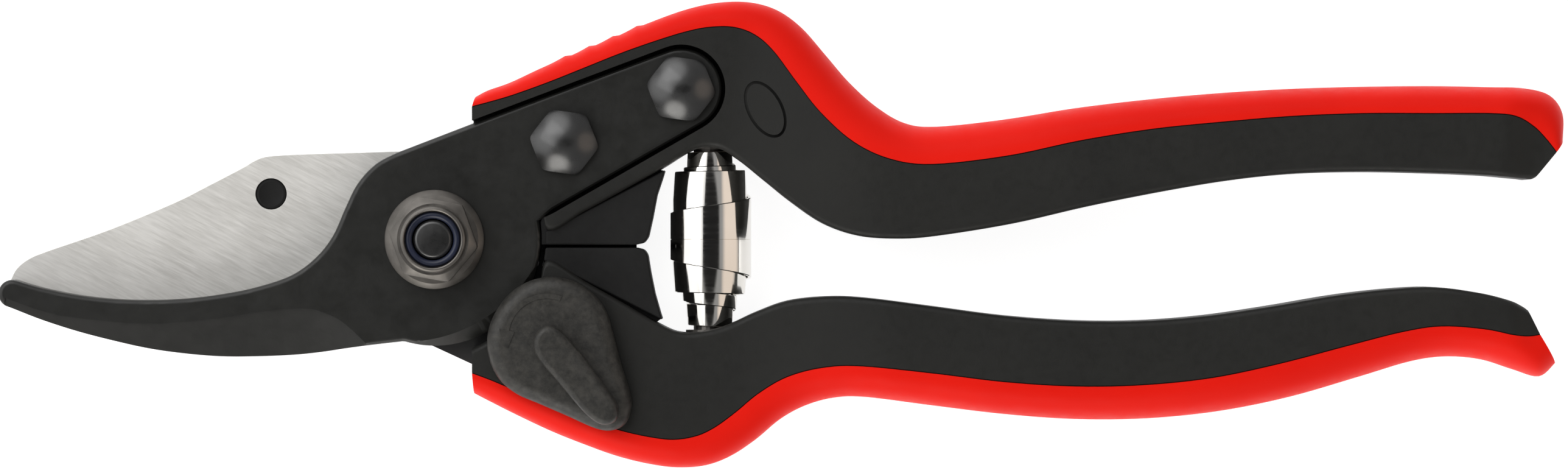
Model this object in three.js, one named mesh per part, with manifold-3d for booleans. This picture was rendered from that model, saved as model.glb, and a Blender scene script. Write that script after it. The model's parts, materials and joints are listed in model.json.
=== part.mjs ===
// Bypass pruning shears with moulded handles, closed and latched, in millimetres.
// The shears lie on their back: +X runs from the pivot to the handle ends, +Y from the lower
// handle to the upper one, and +Z up. The origin is on the pivot axis, on the table.
// Every piece is drawn from the shear plane, where the blade meets the counter-blade, and the
// whole assembly is then lifted by restHeight.
import * as THREE from "three";
import { mergeVertices } from "three/addons/utils/BufferGeometryUtils.js";
import Module from "manifold-3d";

const wasm = await Module();
wasm.setup();

// Driving dimensions
const restHeight = 8; // shear plane above the table, and half the thickness of the grips
const headHalf = 6; // half the thickness of the handles beside the pivot
const shearGap = 0.1; // each cutting part keeps this far from the shear plane
const fitGap = 0.3; // free space between neighbouring pieces
const bladeThickness = 3;
const counterThickness = 5;
const heelRadius = 14.9; // round heel of the counter-blade, about the pivot
const bladeHeelRadius = 15.4; // beside the bumpers, where the blade reaches almost to their ends
const bladeShoulderRadius = 13.2; // the rest of the blade's round heel
const mouldRadius = 15.7; // hollow ends of both handles, about the pivot
const boltRadius = 3.9;
const threadRadius = 3.05;
const nutAcross = 11;
const screwRadius = 2.4;
const screwHeadAcross = 8.6; // domed hexagon heads, across flats
const springX = 38.6; // the spring's own axis runs along Y through this point
const springStrip = 0.45;
const catchAxis = new THREE.Vector2(15.9, -13.6);
const tailScrews = [new THREE.Vector2(18.2, 13.6), new THREE.Vector2(34.6, 21.1)];
const tangScrew = new THREE.Vector2(33.2, -20.4);

// Levels above the shear plane
const counterTop = shearGap + counterThickness;
const bladeBottom = -shearGap - bladeThickness;
const pocketFloor = -0.2; // of the upper handle; the lower handle's pocket is its mirror image
const leverBottom = headHalf + fitGap;

// Handle outlines, one row per station from the pivot end to the free end:
// [outer edge of the soft grip], [border of grip and core], [inner edge of the core]
const upperStations = [
  [[5.7, 20.0], [5.3, 18.6], [5.3, 15.3]],
  [[7.4, 20.9], [7.6, 19.2], [7.8, 14.0]],
  [[10.5, 22.0], [11.0, 20.2], [11.2, 11.6]],
  [[15.0, 24.1], [16.0, 22.0], [14.2, 7.4]],
  [[20.0, 26.2], [21.0, 24.0], [15.9, 1.3]],
  [[25.0, 28.3], [26.0, 26.0], [21.0, 3.9]],
  [[30.0, 30.4], [30.5, 27.6], [26.5, 6.9]],
  [[35.0, 32.2], [35.0, 29.0], [32.0, 10.0]],
  [[39.5, 33.2], [38.5, 29.7], [36.2, 12.5]],
  [[44.0, 33.3], [42.0, 29.7], [39.5, 12.85]],
  [[48.0, 32.2], [45.0, 28.6], [42.5, 11.2]],
  [[51.5, 29.7], [47.6, 26.3], [46.0, 8.4]],
  [[55.0, 25.7], [50.8, 22.0], [50.0, 5.2]],
  [[58.2, 22.0], [54.2, 17.7], [54.5, 2.2]],
  [[62.0, 18.6], [58.8, 13.6], [59.5, 0.5]],
  [[66.0, 16.3], [64.0, 11.2], [65.0, 0.1]],
  [[70.5, 15.8], [70.0, 10.5], [70.5, 0.5]],
  [[80.0, 16.8], [80.5, 11.7], [81.0, 2.2]],
  [[90.0, 18.4], [90.5, 13.8], [91.5, 4.6]],
  [[100.0, 19.6], [100.5, 15.4], [101.5, 6.6]],
  [[110.0, 20.5], [110.3, 16.4], [111.0, 8.2]],
  [[120.0, 21.1], [120.0, 17.2], [120.3, 9.2]],
  [[130.0, 21.4], [130.0, 17.6], [130.0, 9.5]],
  [[140.0, 21.5], [140.0, 17.6], [140.0, 9.3]],
  [[148.0, 21.35], [148.0, 17.6], [147.0, 9.0]],
  [[153.0, 21.2], [151.5, 17.2], [150.5, 8.7]],
  [[156.7, 20.2], [154.0, 15.8], [152.5, 8.5]],
  [[158.5, 17.6], [155.8, 14.0], [153.6, 8.4]],
  [[158.4, 13.8], [157.2, 12.2], [154.3, 8.7]],
];
const lowerStations = [
  [[5.5, -21.6], [5.3, -18.7], [5.3, -15.3]],
  [[8.0, -22.9], [8.0, -19.7], [8.2, -13.7]],
  [[12.0, -24.9], [12.0, -21.4], [11.6, -11.2]],
  [[16.5, -27.0], [16.5, -23.3], [14.6, -6.6]],
  [[21.0, -28.8], [21.5, -25.3], [15.9, -2.9]],
  [[25.5, -30.4], [26.0, -26.7], [21.0, -5.8]],
  [[30.0, -31.5], [30.0, -27.6], [26.5, -8.9]],
  [[34.0, -32.0], [33.5, -28.0], [31.5, -11.8]],
  [[38.0, -31.7], [36.7, -27.5], [34.5, -13.0]],
  [[41.5, -30.4], [39.3, -26.3], [38.0, -12.8]],
  [[45.0, -28.1], [42.2, -24.2], [41.5, -11.8]],
  [[48.5, -25.2], [45.5, -21.5], [45.0, -10.2]],
  [[52.0, -23.3], [49.5, -19.2], [49.5, -8.6]],
  [[56.0, -22.2], [54.5, -17.9], [55.0, -8.0]],
  [[60.5, -22.1], [60.0, -17.7], [60.5, -8.2]],
  [[70.0, -23.3], [70.0, -18.7], [70.0, -9.4]],
  [[80.0, -24.5], [80.0, -19.9], [80.0, -10.7]],
  [[90.0, -25.2], [90.0, -20.5], [90.0, -11.4]],
  [[100.0, -25.1], [99.5, -20.3], [99.0, -11.4]],
  [[110.0, -24.1], [109.0, -19.3], [108.0, -10.7]],
  [[120.0, -22.1], [118.5, -17.3], [117.0, -9.4]],
  [[130.0, -19.2], [128.0, -14.8], [126.5, -7.8]],
  [[137.0, -17.1], [135.5, -12.9], [134.5, -6.9]],
  [[142.0, -16.4], [141.0, -12.1], [140.5, -6.7]],
  [[147.0, -16.8], [147.0, -12.5], [146.5, -7.5]],
  [[151.5, -18.2], [151.0, -13.3], [150.5, -8.5]],
  [[155.2, -19.2], [153.2, -13.5], [152.3, -9.3]],
  [[157.4, -17.4], [154.9, -13.3], [153.2, -9.9]],
];

// Outlines of the flat pieces
const hookEdge = [
  [-58.6, -5.75], [-55, -6.8], [-50, -7.8], [-45, -8.35], [-40, -8.5], [-35, -8.3], [-30, -7.7],
  [-25, -6.7], [-20, -5.0], [-16.5, -2.4], [-14.2, 0.6], [-12.6, 4.2], [-10.8, 7.8], [-8.2, 10.6],
  [-5.2, 12.2],
];
const hookBack = [
  [-4.5, -14.3], [-8, -14.7], [-12, -15.2], [-16, -15.8], [-20, -16.2], [-25, -16.4],
  [-30, -16.4], [-35, -16.0], [-40, -15.3], [-45, -14.2], [-50, -12.9], [-55, -11.3],
  [-59.0, -9.75],
];
const hookTip = { centre: new THREE.Vector2(-59.25, -7.6), radius: 1.95 };
const bladeBack = [
  [-59.9, -5.8], [-59.0, -4.1], [-57.2, -2.7], [-54.5, -1.6], [-46.1, 1.3], [-36.9, 5.1],
  [-32.3, 7.4], [-27.3, 10.0], [-25.6, 11.0], [-23.7, 11.65], [-19.3, 11.95],
];
const bladeEdge = [
  [-6, -13.4], [-10, -12.2], [-15, -10.6], [-20, -9.6], [-25, -9.5], [-30, -9.8], [-35, -10.2],
  [-40, -10.3], [-45, -10.1], [-50, -9.4], [-55, -8.1],
];
const upperBumperOutline = [
  [16.6, 0.9], [32.4, 9.9], [32.0, 8.6], [31.2, 6.2], [30.6, 3.0], [30.0, 0.3], [29.4, -0.5],
  [28.5, -0.75], [15.65, -0.75],
];
const lowerBumperOutline = [
  [15.65, -1.15], [28.6, -1.15], [29.4, -1.4], [29.9, -2.1], [30.3, -4.6], [30.9, -7.6],
  [31.7, -10.4], [32.0, -11.4], [16.5, -2.9],
];
const leverOutline = [
  [23.9, -9.6], [25.2, -13.5], [26.2, -17.3], [27.3, -20.8], [27.7, -23.2], [26.9, -25.7],
  [25.0, -26.7], [22.6, -26.4], [18.5, -24.6], [14.8, -23.0], [11.6, -21.6], [9.2, -19.6],
  [7.8, -16.8], [7.5, -13.6], [8.5, -10.4], [10.8, -7.4], [14.0, -5.6], [17.6, -5.3],
  [21.2, -6.7],
];
const ridgeOutline = [
  [17.4, -12.4], [20.4, -15.6], [23.4, -19.6], [25.7, -23.0], [25.6, -25.2], [23.6, -25.8],
  [21.2, -24.2], [17.6, -20.0], [14.7, -16.6], [14.0, -14.1], [15.3, -12.2],
];

// Curves

const vectors = (pairs) => pairs.map(([x, y]) => new THREE.Vector2(x, y));

function smooth(pairs, stepsPerSpan = 2) {
  const curve = new THREE.SplineCurve(vectors(pairs));
  return curve.getPoints((pairs.length - 1) * stepsPerSpan);
}

function smoothLoop(pairs, stepsPerSpan = 2) {
  const wrapped = [pairs.at(-2), pairs.at(-1), ...pairs, pairs[0], pairs[1]];
  return smooth(wrapped, stepsPerSpan).slice(2 * stepsPerSpan, -stepsPerSpan - 1);
}

function arc(centre, radius, fromDegrees, toDegrees, steps) {
  return Array.from({ length: steps + 1 }, (_, i) => {
    const angle = THREE.MathUtils.degToRad(fromDegrees + ((toDegrees - fromDegrees) * i) / steps);
    return new THREE.Vector2(radius, 0).rotateAround(new THREE.Vector2(), angle).add(centre);
  });
}

const anticlockwise = (loop) => (THREE.ShapeUtils.isClockWise(loop) ? [...loop].reverse() : loop);

// Moves every edge of an anticlockwise loop inwards by the same distance, with mitred corners.
function inset(loop, distance) {
  const inwards = loop.map((point, i) => {
    const along = loop[(i + 1) % loop.length].clone().sub(point).normalize();
    return new THREE.Vector2(-along.y, along.x);
  });
  return loop.map((point, i) => {
    const before = inwards[(i + loop.length - 1) % loop.length];
    const mitre = before.clone().add(inwards[i]).divideScalar(1 + before.dot(inwards[i]));
    return point.clone().addScaledVector(mitre, distance);
  });
}

// Solids

// A closed skin over loops of equal length; flat holds the loops' shape for closing the two ends.
function skin(loops, flatFirst, flatLast) {
  const count = loops[0].length;
  const positions = loops.flat().flatMap((point) => [point.x, point.y, point.z]);
  const faces = [];
  for (let k = 0; k + 1 < loops.length; k++) {
    for (let i = 0; i < count; i++) {
      const [a, b] = [k * count + i, k * count + ((i + 1) % count)];
      faces.push(a, b, b + count, a, b + count, a + count);
    }
  }
  const close = (flat, first, flip) => {
    const turned = THREE.ShapeUtils.isClockWise(flat) !== flip;
    THREE.ShapeUtils.triangulateShape(flat, []).forEach(([a, b, c]) =>
      faces.push(first + a, first + (turned ? c : b), first + (turned ? b : c)),
    );
  };
  close(flatFirst, 0, true);
  close(flatLast, (loops.length - 1) * count, false);
  const geometry = new THREE.BufferGeometry();
  geometry.setAttribute("position", new THREE.Float32BufferAttribute(positions, 3));
  geometry.setIndex(faces);
  return solid(geometry);
}

// A closed geometry as a manifold-3d solid, for joining and cutting.
function solid(geometry) {
  const bare = geometry.clone();
  bare.deleteAttribute("normal");
  bare.deleteAttribute("uv");
  const merged = mergeVertices(bare, 1e-4);
  const vertProperties = merged.attributes.position.array;
  const close = (triVerts) =>
    new wasm.Manifold(new wasm.Mesh({ numProp: 3, vertProperties, triVerts }));
  const corners = new Uint32Array(merged.index.array);
  const made = close(corners);
  if (made.volume() > 0) return made;
  for (let i = 0; i < corners.length; i += 3) {
    [corners[i], corners[i + 1]] = [corners[i + 1], corners[i]];
  }
  return close(corners);
}

// A flat piece between two levels, with its top or bottom edge bevelled where asked.
function plate(outline, bottom, top, bevel = { bottom: 0, top: 0 }) {
  const loop = anticlockwise(outline);
  const levels = [];
  if (bevel.bottom) levels.push([bevel.bottom, bottom], [0, bottom + bevel.bottom]);
  else levels.push([0, bottom]);
  if (bevel.top) levels.push([0, top - bevel.top], [bevel.top, top]);
  else levels.push([0, top]);
  const rings = levels.map(([shrink, z]) => ({ flat: shrink ? inset(loop, shrink) : loop, z }));
  const loops = rings.map(({ flat, z }) => flat.map((p) => new THREE.Vector3(p.x, p.y, z)));
  return skin(loops, rings[0].flat, rings.at(-1).flat);
}

// Round solid about Z at (x, y): profile is [radius, z] from the lower end of the axis to the upper.
function turnedPiece(profile, centre = new THREE.Vector2(), segments = 24) {
  const lathe = new THREE.LatheGeometry(vectors(profile), segments);
  lathe.rotateX(Math.PI / 2);
  lathe.translate(centre.x, centre.y, 0);
  return solid(lathe);
}

const cylinder = (radius, bottom, top, centre, segments) =>
  turnedPiece([[0, bottom], [radius, bottom], [radius, top], [0, top]], centre, segments);

const ring = (inner, outer, bottom, top, centre) =>
  cylinder(outer, bottom, top, centre).subtract(cylinder(inner, bottom - 1, top + 1, centre));

// A box along the direction from one point to another, between two levels.
function bar(from, to, width, bottom, top) {
  const along = to.clone().sub(from);
  const box = new THREE.BoxGeometry(along.length(), width, top - bottom);
  box.rotateZ(along.angle());
  box.translate((from.x + to.x) / 2, (from.y + to.y) / 2, (bottom + top) / 2);
  return solid(box);
}

// Hexagonal prism with its flats facing X and -X, turned by the given angle.
function hexagon(across, bottom, top, centre, turnDegrees = 0) {
  return cylinder(across / Math.sqrt(3), bottom, top, undefined, 6)
    .rotate([0, 0, turnDegrees])
    .translate([centre.x, centre.y, 0]);
}

// Handles

// Half the thickness of a handle: headHalf by the pivot, restHeight in the grip, less at the end.
function halfThickness(x) {
  const swell = THREE.MathUtils.smoothstep(x, 45, 66);
  const taper = THREE.MathUtils.smoothstep(x, 150, 160);
  return headHalf + (restHeight - headHalf) * swell - 1.2 * taper;
}

// Smoothed stations of a handle as {outer, border, inner, half}.
function handleSections(stations) {
  const curve = (column) => smooth(stations.map((row) => row[column]));
  const [outer, border, inner] = [curve(0), curve(1), curve(2)];
  return outer.map((point, i) => ({
    outer: point,
    border: border[i],
    inner: inner[i],
    half: halfThickness(point.x),
  }));
}

// The point at a distance from a on the way to b.
const stepTowards = (a, b, distance) => a.clone().addScaledVector(b.clone().sub(a).normalize(), distance);

// Skin over one cross-section per station: shape(section) lists [point in plan, height].
function handleSkin(sections, shape) {
  const loops = sections.map((section) =>
    shape(section).map(([point, z]) => new THREE.Vector3(point.x, point.y, z)),
  );
  const flat = (section) => shape(section).map(([, z, across]) => new THREE.Vector2(across, z));
  return skin(loops, flat(sections[0]), flat(sections.at(-1)));
}

const tongueReach = 0.5; // share of the grip's width that the core's tongue fills
const tongueHalf = 0.42; // share of the handle's half thickness

// Core: bevelled on its inner edge, with a tongue that the soft grip is moulded over.
function coreShape({ outer, border, inner, half }) {
  const bevel = 0.9;
  const width = border.distanceTo(inner);
  const reach = tongueReach * outer.distanceTo(border);
  const face = stepTowards(inner, border, bevel);
  const tongue = stepTowards(border, outer, reach);
  const tongueZ = tongueHalf * half;
  return [
    [inner, half - bevel, 0],
    [face, half, bevel],
    [border, half, width],
    [border, tongueZ, width],
    [tongue, tongueZ, width + reach],
    [tongue, -tongueZ, width + reach],
    [border, -tongueZ, width],
    [border, -half, width],
    [face, -half, bevel],
    [inner, bevel - half, 0],
  ];
}

// Grip: a rounded channel over the tongue.
function gripShape({ outer, border, half }) {
  const gap = 0.2;
  const width = outer.distanceTo(border);
  const at = (share) => stepTowards(border, outer, Math.max(share * width, gap));
  const channel = tongueReach * width + gap;
  const channelZ = tongueHalf * half + gap;
  const upperHalf = [
    [at(0), half, 0],
    [at(0.4), 0.97 * half, 0.4 * width],
    [at(0.75), 0.8 * half, 0.75 * width],
    [at(0.93), 0.55 * half, 0.93 * width],
    [at(1), 0.22 * half, width],
  ];
  const lowerHalf = upperHalf.map(([point, z, across]) => [point, -z, across]).reverse();
  return [
    ...upperHalf,
    ...lowerHalf,
    [at(0), -channelZ, 0],
    [stepTowards(border, outer, channel), -channelZ, channel],
    [stepTowards(border, outer, channel), channelZ, channel],
    [at(0), channelZ, 0],
  ];
}

const ribStarts = [16.5, 19.9, 23.3, 26.7]; // along X
const ribLength = 2.1;
const ribHalfHeight = 3;

// Small raised steps on the upper grip, where the thumb rests.
function thumbRibs(sections) {
  const outer = new THREE.SplineCurve(sections.map((section) => section.outer));
  return ribStarts.map((x) => {
    const index = outer.points.findIndex((point) => point.x > x);
    const start = outer.points[index];
    const slope = outer.points[index + 1].clone().sub(start).normalize();
    const inwards = new THREE.Vector2(slope.y, -slope.x).multiplyScalar(0.15);
    const from = start.clone().add(inwards);
    const to = from.clone().addScaledVector(slope, ribLength);
    return bar(from, to, 0.9, -ribHalfHeight, ribHalfHeight);
  });
}

// Cutting parts

const tailEnd = { centre: tailScrews[1], radius: 5.7 };
const tangEnd = { centre: tangScrew, radius: 5.5 };

function counterBladeOutline() {
  return [
    ...smooth(hookEdge),
    new THREE.Vector2(5.2, 16.2),
    ...arc(tailEnd.centre, tailEnd.radius, 112, -61, 12),
    new THREE.Vector2(16.6, 4.2),
    ...arc(new THREE.Vector2(), heelRadius, 10, -106, 20),
    ...smooth(hookBack),
    ...arc(hookTip.centre, hookTip.radius, 240, 85, 8),
  ];
}

const counterTail = () => [
  new THREE.Vector2(2, 14.9),
  ...arc(tailEnd.centre, tailEnd.radius, 112, -61, 12),
  new THREE.Vector2(16.6, 4.2),
  new THREE.Vector2(8, 0),
];

function cuttingBladeOutline() {
  return [
    ...smooth(bladeBack),
    ...arc(new THREE.Vector2(), bladeShoulderRadius, 110, 46, 10),
    ...arc(new THREE.Vector2(), bladeHeelRadius, 36, -14, 10),
    new THREE.Vector2(16.4, -4.3),
    ...arc(tangEnd.centre, tangEnd.radius, 58, -110, 12),
    new THREE.Vector2(5.2, -17.6),
    new THREE.Vector2(-1.5, -14.5),
    ...smooth(bladeEdge),
  ];
}

const bladeTang = () => [
  new THREE.Vector2(8, 0),
  new THREE.Vector2(16.4, -4.3),
  ...arc(tangEnd.centre, tangEnd.radius, 58, -110, 12),
  new THREE.Vector2(5.2, -17.6),
  new THREE.Vector2(-1.5, -14.5),
];

const keyFlat = 3.2; // the bolt's shank has two flats here, which key it to the counter-blade

const notchDepth = 1.5; // in the counter-blade's heel, where the catch dog enters
const notchWidth = 4.6;

// A bar along X through the pivot axis.
const crossBar = (width, bottom, top, y = 0) =>
  bar(new THREE.Vector2(-9, y), new THREE.Vector2(9, y), width, bottom, top);

function counterBlade() {
  const boltHole = cylinder(boltRadius + 0.15, -1, 9).intersect(crossBar(2 * keyFlat + 0.3, -1, 9));
  const notchFloor = catchAxis.clone().setLength(heelRadius - notchDepth);
  const outside = catchAxis.clone().setLength(heelRadius + 3);
  const cuts = [
    boltHole,
    bar(notchFloor, outside, notchWidth, -1, 9),
    ...tailScrews.map((centre) => cylinder(screwRadius + 0.2, -1, 9, centre)),
  ];
  const body = plate(counterBladeOutline(), shearGap, counterTop, { bottom: 0, top: 0.8 });
  return cuts.reduce((made, cut) => made.subtract(cut), body);
}

const plugCentre = new THREE.Vector2(-23.2, 6.4);
const plugRadius = 2.1;
const bushRadius = 5.6;

function cuttingBlade() {
  const holes = [
    cylinder(bushRadius + 0.1, -9, 1),
    cylinder(plugRadius + 0.15, -9, 1, plugCentre),
    cylinder(screwRadius + 0.2, -9, 1, tangScrew),
    cylinder(screwRadius + 0.2, -9, 1, catchAxis),
  ];
  const body = plate(cuttingBladeOutline(), bladeBottom, -shearGap, { bottom: 0.5, top: 0 });
  return holes.reduce((made, hole) => made.subtract(hole), body);
}

// Rubber plug through the blade, with a wider head on its underside.
function bladePlug() {
  const headProfile = [
    [0, bladeBottom - 1], [2, bladeBottom - 1], [2.8, bladeBottom - 0.2], [0, bladeBottom - 0.2],
  ];
  return cylinder(plugRadius, bladeBottom - 0.3, -shearGap - 0.05, plugCentre).add(
    turnedPiece(headProfile, plugCentre),
  );
}

// Pivot

const washerTop = bladeBottom - 0.2;
const washerBottom = washerTop - 1;
const headTop = washerBottom - 0.2;
const nutBottom = counterTop + 0.2;
const flangeTop = nutBottom + 1.2;
const hexTop = flangeTop + 4.4;
const collarTop = hexTop + 1.1;
const nutTurn = 20;

const headAcross = 12.4; // the bolt's head has two flats

function pivotBolt() {
  const headProfile = [
    [0, -restHeight], [5.6, -restHeight], [7, -restHeight + 1.2], [7, headTop], [0, headTop],
  ];
  const threadProfile = [
    [0, 1], [threadRadius - 0.1, 1], [threadRadius - 0.1, collarTop - 1.3],
    [threadRadius - 0.7, collarTop - 0.7], [0, collarTop - 0.7],
  ];
  const head = turnedPiece(headProfile).intersect(crossBar(headAcross, -20, 0));
  const shank = cylinder(boltRadius, headTop - 0.5, counterTop - 0.2)
    .subtract(crossBar(4, 0, 9, keyFlat + 2))
    .subtract(crossBar(4, 0, 9, -keyFlat - 2));
  return head.add(shank).add(turnedPiece(threadProfile));
}

function pivotNut() {
  const flangeProfile = [
    [0, nutBottom], [7, nutBottom], [7, nutBottom + 0.6], [6, flangeTop], [0, flangeTop],
  ];
  const collarProfile = [
    [0, hexTop - 0.5], [4.75, hexTop - 0.5], [4.75, collarTop - 0.4], [4.4, collarTop], [0, collarTop],
  ];
  return turnedPiece(flangeProfile)
    .add(hexagon(nutAcross, flangeTop - 0.7, hexTop, new THREE.Vector2(), nutTurn))
    .add(turnedPiece(collarProfile))
    .subtract(cylinder(threadRadius + 0.2, 0, 30))
    .subtract(cylinder(4.05, collarTop - 1.7, 30));
}

// Spring: one forked strip rolled up as two volutes, mirror images about its middle.

const springTurns = 3.5;

// Values between [turn, value] pairs, joined by straight lines.
function along(table, turn) {
  const after = table.findIndex(([at]) => at >= turn);
  if (after <= 0) return table.at(after).at(1);
  const [[t0, v0], [t1, v1]] = [table[after - 1], table[after]];
  return v0 + ((v1 - v0) * (turn - t0)) / (t1 - t0);
}

// The strip's radius about the spring's axis, and its two edges' distance from the middle.
const stripRadius = [
  [0, 5.6], [0.5, 5.58], [0.95, 5.06], [1.45, 5.02], [1.95, 3.75], [2.45, 3.58], [2.95, 3.15],
  [3.5, 3.05],
];
const stripInner = [[0, 0], [0.8, 0], [0.95, 1.5], [1.45, 2.5], [1.95, 7], [2.95, 9], [3.5, 9.5]];
const stripOuterUpper = [
  [0, 3.8], [0.45, 6], [0.95, 9.5], [1.45, 9.75], [1.95, 10.1], [2.45, 10.5], [2.95, 12.2],
  [3.5, 12.5],
];
const stripOuterLower = [
  [0, 2.9], [0.45, 5.4], [0.95, 7.4], [1.45, 7.7], [1.95, 8.6], [2.45, 9.9], [2.95, 12.0],
  [3.5, 12.5],
];
const forkOverlap = 0.05; // the two arms are one strip up to the fork

function springHalf(side) {
  const stepsPerTurn = 18;
  const loops = Array.from({ length: springTurns * stepsPerTurn + 1 }, (_, i) => {
    const turn = i / stepsPerTurn;
    const angle = Math.PI * (1.1 + 2 * turn);
    const radius = along(stripRadius, turn);
    const inner = along(stripInner, turn) - forkOverlap;
    const outer = along(side > 0 ? stripOuterUpper : stripOuterLower, turn);
    const corner = (r, height) =>
      new THREE.Vector3(springX + r * Math.cos(angle), side * height, -r * Math.sin(angle));
    return [
      corner(radius - springStrip / 2, inner),
      corner(radius + springStrip / 2, inner),
      corner(radius + springStrip / 2, outer),
      corner(radius - springStrip / 2, outer),
    ];
  });
  const square = vectors([[0, 0], [1, 0], [1, 1], [0, 1]]);
  return skin(loops, square, square);
}

// Stud that carries one end of the spring: shank in the core, flange in the pocket, then a spigot.
function springSeat(side) {
  const profile = [
    [0, 8.7], [1.6, 8.7], [2.3, 9.5], [2.3, 12.7], [3.4, 12.7], [3.4, 13.2], [1.5, 13.2],
    [1.5, 15.1], [0, 15.1],
  ];
  const stud = new THREE.LatheGeometry(vectors(profile), 24);
  if (side < 0) stud.rotateX(Math.PI);
  stud.translate(springX, 0, 0);
  return solid(stud);
}

function springPocket(side) {
  const profile = [[0, 7], [4.4, 7], [4.4, 13.4], [1.7, 13.4], [1.7, 15.4], [0, 15.4]];
  const pocket = new THREE.LatheGeometry(vectors(profile), 24);
  if (side < 0) pocket.rotateX(Math.PI);
  pocket.translate(springX, 0, 0);
  return solid(pocket);
}

// Fasteners of the cutting parts: domed hexagon screws in threaded inserts

const screwTurn = 22;

// Dome cut by a rounded hexagon, standing on level z = 0 and rising.
function domedHead() {
  const rise = 2.6;
  const radius = screwHeadAcross / Math.sqrt(3);
  const sphere = (radius * radius + rise * rise) / (2 * rise);
  const profile = [[0, 0], [radius, 0], [radius, 0.3]];
  const steps = 6;
  for (let i = 1; i <= steps; i++) {
    const r = radius * Math.cos((i / steps) * (Math.PI / 2));
    profile.push([r, 0.3 + Math.sqrt(sphere * sphere - r * r) - (sphere - rise)]);
  }
  return turnedPiece(profile)
    .intersect(hexagon(screwHeadAcross, -1, 9, new THREE.Vector2(), screwTurn))
    .intersect(cylinder(0.98 * radius, -1, 9));
}

function screw(headLevel, tipLevel, centre) {
  const up = headLevel > 0;
  const head = up ? domedHead() : domedHead().rotate([180, 0, 0]);
  const shank = cylinder(screwRadius, Math.min(headLevel, tipLevel), Math.max(headLevel, tipLevel));
  const bite = up ? 0.3 : -0.3; // so that the shank enters the head
  return head
    .translate([0, 0, headLevel])
    .add(shank.translate([0, 0, bite]))
    .translate([centre.x, centre.y, 0]);
}

const tailHeadLevel = counterTop + 0.15;
const tangHeadLevel = bladeBottom - 0.15;
const insertRadius = 3.5;
const insertNear = 0.6;
const insertFar = 4.8;

const insert = (side, centre) =>
  side > 0
    ? ring(screwRadius + 0.15, insertRadius, insertNear, insertFar, centre)
    : ring(screwRadius + 0.15, insertRadius, -insertFar, -insertNear, centre);

// Bumpers: rubber wedges that meet when the handles close, each keyed into its core

const bumperHalf = 5.2; // half the height of a bumper
const lipTop = -4.4; // of the lower bumper's lip, which lies under the upper bumper
const keyWidth = 3.2;
const keyNear = 1.2; // the keys lie between these two distances from the shear plane
const keyFar = 4;
const upperKey = [new THREE.Vector2(21.4, 4.4), new THREE.Vector2(28.0, 8.2)];
const lowerKey = [new THREE.Vector2(21.4, -6.6), new THREE.Vector2(28.0, -10.3)];
const heelTongue = [[15.1, -0.7], [17, -0.7], [17, 0.9], [15.1, 0.9]];
const lowerLip = [[14.6, -2.4], [16.6, -2.4], [28.2, -1.6], [28.2, -0.45], [14.6, -0.45]];

const upperBumper = () =>
  plate(vectors(upperBumperOutline), lipTop + 0.2, bumperHalf, { bottom: 0.3, top: 0.5 })
    .add(plate(vectors(heelTongue), 0.3, 4.5))
    .add(bar(...upperKey, keyWidth, -keyFar, -keyNear));

const lowerBumper = () =>
  plate(vectors(lowerBumperOutline), -bumperHalf, bumperHalf, { bottom: 0.5, top: 0.5 })
    .add(plate(vectors(lowerLip), -bumperHalf, lipTop))
    .add(bar(...lowerKey, keyWidth, keyNear, keyFar));

// Room for a key in a handle core, wider than the key all round.
function keySlot(key, side) {
  const along = key[1].clone().sub(key[0]).setLength(fitGap);
  const wider = [key[0].clone().sub(along), key[1].clone().add(along)];
  const [near, far] = [keyNear - fitGap, keyFar + fitGap];
  return side > 0
    ? bar(...wider, keyWidth + 2 * fitGap, -far, -near)
    : bar(...wider, keyWidth + 2 * fitGap, near, far);
}

// Catch

const recessFloor = 1.2;
const dogBottom = 2.3;
const dogTop = 4.9;
const leverTop = 9.3;
const ridgeTop = 11.6;

const waveWasher = () =>
  ring(screwRadius + 0.2, 4.6, recessFloor + 0.3, recessFloor + 0.8, catchAxis);

function catchDog() {
  const tip = catchAxis.clone().sub(catchAxis.clone().setLength(5.6));
  return cylinder(4.7, dogBottom, dogTop, catchAxis)
    .add(bar(catchAxis, tip, 3.6, dogBottom, dogTop))
    .subtract(cylinder(screwRadius + 0.2, 0, 9, catchAxis));
}

function catchLever() {
  return plate(smoothLoop(leverOutline), leverBottom, leverTop, { bottom: 0, top: 1.4 })
    .add(plate(smoothLoop(ridgeOutline), leverTop - 1.5, ridgeTop, { bottom: 0, top: 0.9 }))
    .add(cylinder(4.7, dogTop + fitGap, leverBottom + 0.5, catchAxis))
    .subtract(cylinder(screwRadius + 0.25, 0, leverTop - 0.6, catchAxis));
}

// Bodies of the two handles

function upperCore(sections) {
  const tailPocket = plate(inset(anticlockwise(counterTail()), -0.5), pocketFloor, 9);
  const cuts = [
    tailPocket,
    cylinder(mouldRadius, -20, 20, undefined, 64),
    springPocket(1),
    keySlot(upperKey, 1),
    ...tailScrews.map((centre) => cylinder(insertRadius + 0.15, -insertFar - 0.2, 1, centre)),
  ];
  return cuts.reduce((made, cut) => made.subtract(cut), handleSkin(sections, coreShape));
}

function lowerCore(sections) {
  const tangPocket = plate(inset(anticlockwise(bladeTang()), -0.4), -9, -pocketFloor);
  const cuts = [
    tangPocket,
    cylinder(mouldRadius, -20, 20, undefined, 64),
    springPocket(-1),
    keySlot(lowerKey, -1),
    cylinder(insertRadius + 0.15, -1, insertFar + 0.2, tangScrew),
    cylinder(screwRadius + 0.2, -1, 9, catchAxis),
    cylinder(6.3, recessFloor, 9, catchAxis),
  ];
  return cuts.reduce((made, cut) => made.subtract(cut), handleSkin(sections, coreShape));
}

// Materials

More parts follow.
